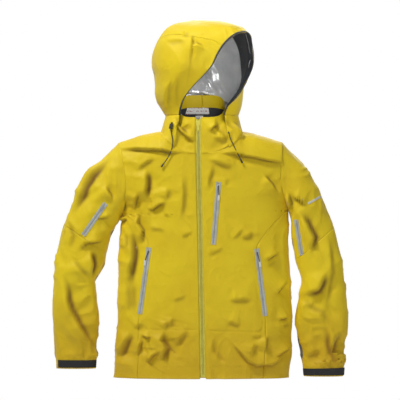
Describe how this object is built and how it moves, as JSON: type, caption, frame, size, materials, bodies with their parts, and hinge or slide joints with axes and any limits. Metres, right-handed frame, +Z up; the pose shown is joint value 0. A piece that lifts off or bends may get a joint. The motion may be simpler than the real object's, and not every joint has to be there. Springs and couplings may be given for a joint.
{
  "type": "hardshell jacket",
  "caption": "Waterproof hooded shell jacket with a full front zip, chest, hand and sleeve zips, cuff tabs and hood drawcords, held by its hanger loop.",
  "frame": {"origin": "underside of the hanger loop's top strap, where a hook carries the jacket", "axes": "+Z up along the jacket's length, +Y towards its back; the front faces -Y and the wearer's left is +X"},
  "size_m": [0.9496, 0.3117, 1.1545],
  "materials": {
    "shell": "matt yellow woven shell cloth",
    "facing": "charcoal brushed facing and loop tape",
    "pocket_mesh": "pale pocket mesh",
    "label": "white woven label",
    "tab": "matt black moulded tab",
    "zip_grey": "grey coated zip tape",
    "zip_yellow": "pale yellow coated zip tape",
    "slider": "satin metal",
    "slider_yellow": "painted pale yellow",
    "cord": "black braided cord",
    "cord_end": "black moulded plastic",
    "grip": "pale grey moulded grip"
  },
  "bodies": {
    "body": {"front_body_right": "shell", "hem_front_right": "shell", "side_panel_right": "shell", "front_body_left": "shell", "hem_front_left": "shell", "side_panel_left": "shell", "back_body": "shell", "storm_flap": "shell", "chest_pocket_bag": "pocket_mesh", "hand_pocket_bag_right": "pocket_mesh", "hand_pocket_bag_left": "pocket_mesh", "collar_right": "shell", "hood_neck_right": "shell", "collar_left": "shell", "hood_neck_left": "shell", "collar_lining": "facing", "neck_label": "label", "hanger_loop": "facing", "chest_zip_tape": "zip_grey", "hand_right_zip_tape": "zip_grey", "hand_left_zip_tape": "zip_grey", "front_zip_tape_right": "zip_yellow", "front_zip_tape_left": "zip_yellow", "front_zip_box": "slider_yellow", "hood_cord_right": "cord", "cord_end_right": "cord_end", "hood_cord_left": "cord", "cord_end_left": "cord_end", "cord_lock": "cord_end", "cord_eyelet_left": "cord_end"},
    "upper_arm_right": {"upper_sleeve_right": "shell", "vent_right_zip_tape": "zip_grey"},
    "forearm_right": {"lower_sleeve_right": "shell", "cuff_patch_right": "facing"},
    "cuff_tab_body_right": {"cuff_tab_right": "tab"},
    "upper_arm_left": {"upper_sleeve_left": "shell", "vent_left_zip_tape": "zip_grey"},
    "forearm_left": {"lower_sleeve_left": "shell", "cuff_patch_left": "facing"},
    "cuff_tab_body_left": {"cuff_tab_left": "tab"},
    "hood": {"hood_side_right": "shell", "hood_centre": "shell", "hood_side_left": "shell", "hood_brim": "facing"},
    "chest_slider_body": {"chest_zip_slider": "slider"},
    "chest_pull_body": {"chest_pull_cord": "cord", "chest_pull_grip": "grip"},
    "hand_right_slider_body": {"hand_right_zip_slider": "slider"},
    "hand_right_pull_body": {"hand_right_pull_cord": "cord", "hand_right_pull_grip": "grip"},
    "hand_left_slider_body": {"hand_left_zip_slider": "slider"},
    "hand_left_pull_body": {"hand_left_pull_cord": "cord", "hand_left_pull_grip": "grip"},
    "vent_right_slider_body": {"vent_right_zip_slider": "slider"},
    "vent_right_pull_body": {"vent_right_zip_pull": "grip"},
    "vent_left_slider_body": {"vent_left_zip_slider": "slider"},
    "vent_left_pull_body": {"vent_left_zip_pull": "grip"},
    "front_slider_body": {"front_zip_slider": "slider_yellow"},
    "front_pull_body": {"front_zip_pull": "slider_yellow"},
    "lock_button_body": {"cord_lock_button": "cord_end"}
  },
  "joints": [
    {"name": "shoulder_right", "type": "hinge", "parent": "body", "child": "upper_arm_right", "pos_m": [-0.2688, -0.0632, -0.0615], "axis": [0, 1, 0], "range_deg": [0, 60]},
    {"name": "elbow_right", "type": "hinge", "parent": "upper_arm_right", "child": "forearm_right", "pos_m": [-0.40654, -0.1087, -0.47724], "axis": [-0.9477, 0, 0.3192], "range_deg": [0, 45]},
    {"name": "cuff_tab_right", "type": "hinge", "parent": "forearm_right", "child": "cuff_tab_body_right", "pos_m": [-0.34035, -0.07041, -0.77729], "axis": [0, 0, 1], "range_deg": [0, 100]},
    {"name": "shoulder_left", "type": "hinge", "parent": "body", "child": "upper_arm_left", "pos_m": [0.2608, -0.0632, -0.0615], "axis": [0, -1, 0], "range_deg": [0, 60]},
    {"name": "elbow_left", "type": "hinge", "parent": "upper_arm_left", "child": "forearm_left", "pos_m": [0.38826, -0.1087, -0.49132], "axis": [-0.8705, 0, -0.4923], "range_deg": [0, 45]},
    {"name": "cuff_tab_left", "type": "hinge", "parent": "forearm_left", "child": "cuff_tab_body_left", "pos_m": [0.32591, -0.0704, -0.80368], "axis": [0, 0, -1], "range_deg": [0, 100]},
    {"name": "hood_tilt", "type": "hinge", "parent": "body", "child": "hood", "pos_m": [0, 0.0353, 0.023], "axis": [-1, 0, 0], "range_deg": [0, 75]},
    {"name": "chest_zip_slide", "type": "slide", "parent": "body", "child": "chest_slider_body", "axis": [-0.0835, -0.0011, -0.9965], "range_m": [0, 0.1762]},
    {"name": "chest_pull_swing", "type": "hinge", "parent": "chest_slider_body", "child": "chest_pull_body", "pos_m": [0.05241, -0.14436, -0.20348], "axis": [-0.9961, -0.0269, 0.0835], "range_deg": [0, 150]},
    {"name": "hand_right_zip_slide", "type": "slide", "parent": "body", "child": "hand_right_slider_body", "axis": [-0.1373, 0.0295, -0.9901], "range_m": [0, 0.1905]},
    {"name": "hand_right_pull_swing", "type": "hinge", "parent": "hand_right_slider_body", "child": "hand_right_pull_body", "pos_m": [-0.1722, -0.12976, -0.41342], "axis": [-0.9619, 0.2344, 0.1404], "range_deg": [0, 150]},
    {"name": "hand_left_zip_slide", "type": "slide", "parent": "body", "child": "hand_left_slider_body", "axis": [0.1273, 0.0211, -0.9916], "range_m": [0, 0.1922]},
    {"name": "hand_left_pull_swing", "type": "hinge", "parent": "hand_left_slider_body", "child": "hand_left_pull_body", "pos_m": [0.17696, -0.13084, -0.41743], "axis": [-0.9712, -0.2003, -0.1289], "range_deg": [0, 150]},
    {"name": "vent_right_zip_slide", "type": "slide", "parent": "upper_arm_right", "child": "vent_right_slider_body", "axis": [-0.5742, 0.0585, -0.8166], "range_m": [0, 0.0875]},
    {"name": "vent_right_pull_swing", "type": "hinge", "parent": "vent_right_slider_body", "child": "vent_right_pull_body", "pos_m": [-0.31629, -0.11796, -0.26985], "axis": [-0.8178, 0.0061, 0.5755], "range_deg": [0, 150]},
    {"name": "vent_left_zip_slide", "type": "slide", "parent": "upper_arm_left", "child": "vent_left_slider_body", "axis": [0.162, 0.0877, -0.9829], "range_m": [0, 0.0921]},
    {"name": "vent_left_pull_swing", "type": "hinge", "parent": "vent_left_slider_body", "child": "vent_left_pull_body", "pos_m": [0.30323, -0.10772, -0.32456], "axis": [-0.8394, 0.5359, -0.0905], "range_deg": [0, 150]},
    {"name": "front_zip_slide", "type": "slide", "parent": "body", "child": "front_slider_body", "axis": [0.02, 0, -0.9998], "range_m": [0, 0.7982]},
    {"name": "front_pull_swing", "type": "hinge", "parent": "front_slider_body", "child": "front_pull_body", "pos_m": [-0.013, -0.1439, -0.002], "axis": [-0.9998, 0, -0.02], "range_deg": [0, 150]},
    {"name": "cord_lock_press", "type": "slide", "parent": "body", "child": "lock_button_body", "axis": [-0.1987, 0, -0.9801], "range_m": [0, 0.0028], "stiffness_N_per_m": 300, "springref_m": -0.001}
  ]
}
